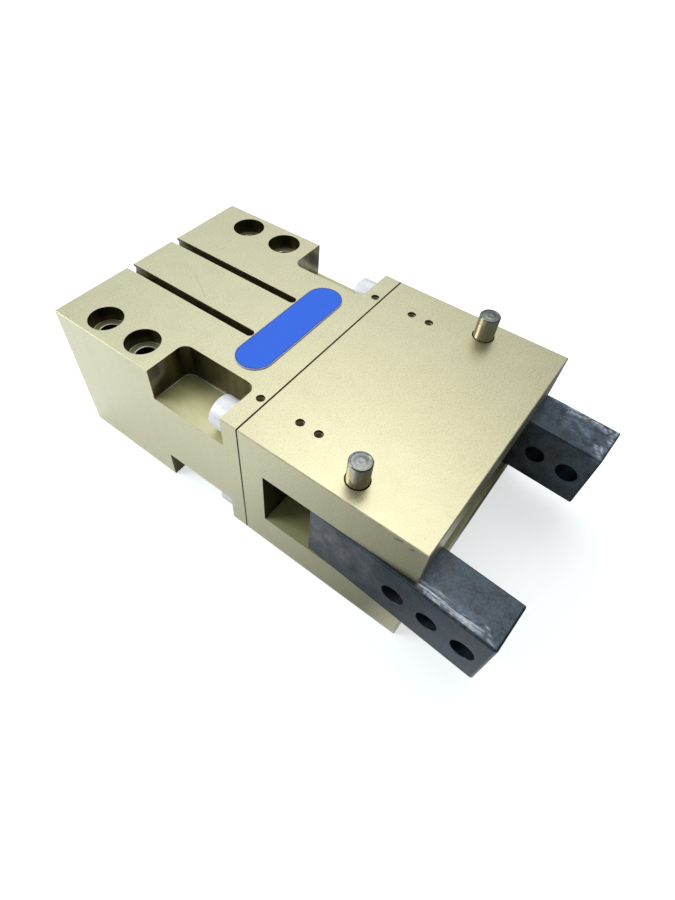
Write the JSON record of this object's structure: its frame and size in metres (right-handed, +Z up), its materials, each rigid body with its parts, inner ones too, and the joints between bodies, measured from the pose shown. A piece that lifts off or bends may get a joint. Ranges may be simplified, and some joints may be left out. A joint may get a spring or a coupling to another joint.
{
  "type": "two finger angular gripper",
  "caption": "Pneumatic angular gripper: an anodised cylinder body and a clevis housing with blackened jaws that swing on steel pins.",
  "frame": {"origin": "centre of the cylinder body's rear face", "axes": "+Y forward along the piston towards the jaws' tips, +X to the right across the jaws, +Z up to the labelled face"},
  "size_m": [0.0834, 0.1537, 0.0575],
  "materials": {
    "anodised_body": "fine satin, champagne anodised",
    "plain_aluminium": "turned",
    "black_steel": "ground and blackened",
    "bright_steel": "ground",
    "zinc_steel": "zinc plated",
    "bronze": "turned",
    "seal_rubber": "matt",
    "guide_plastic": "matt",
    "magnet": "matt",
    "label_foil": "printed, glossy"
  },
  "bodies": {
    "housing": {"cylinder_body": "anodised_body", "jaw_housing": "anodised_body", "housing_screws": "zinc_steel", "locating_dowels": "bright_steel", "rod_gland": "plain_aluminium", "gland_o_ring": "seal_rubber", "rod_guide_bush": "bronze", "rod_seal": "seal_rubber", "rod_wiper": "seal_rubber", "pivot_bushes": "bronze", "label_plate": "label_foil"},
    "drive": {"piston": "plain_aluminium", "piston_rod": "bright_steel", "piston_seals": "seal_rubber", "piston_guide_ring": "guide_plastic", "piston_magnet": "magnet", "piston_nut": "zinc_steel", "neck_o_ring": "seal_rubber", "crosshead": "black_steel", "crosshead_screw": "black_steel", "drive_pins": "bright_steel"},
    "right_lever": {"right_jaw": "black_steel", "right_pivot_pin": "bright_steel", "right_lock_screw": "black_steel"},
    "left_lever": {"left_jaw": "black_steel", "left_pivot_pin": "bright_steel", "left_lock_screw": "black_steel"}
  },
  "joints": [
    {"name": "piston_slide", "type": "slide", "parent": "housing", "child": "drive", "axis": [0, 1, 0], "range_m": [-0.001, 0.00375]},
    {"name": "right_jaw_hinge", "type": "hinge", "parent": "housing", "child": "right_lever", "pos_m": [0.033, 0.1073, 0], "axis": [0, 0, -1], "range_deg": [-4, 15]},
    {"name": "left_jaw_hinge", "type": "hinge", "parent": "housing", "child": "left_lever", "pos_m": [-0.033, 0.1073, 0], "axis": [0, 0, 1], "range_deg": [-4, 15]}
  ],
  "couplings": [
    {"joint": "right_jaw_hinge", "follows": "piston_slide", "rad_per_m": 69.788},
    {"joint": "left_jaw_hinge", "follows": "piston_slide", "rad_per_m": 69.788}
  ]
}
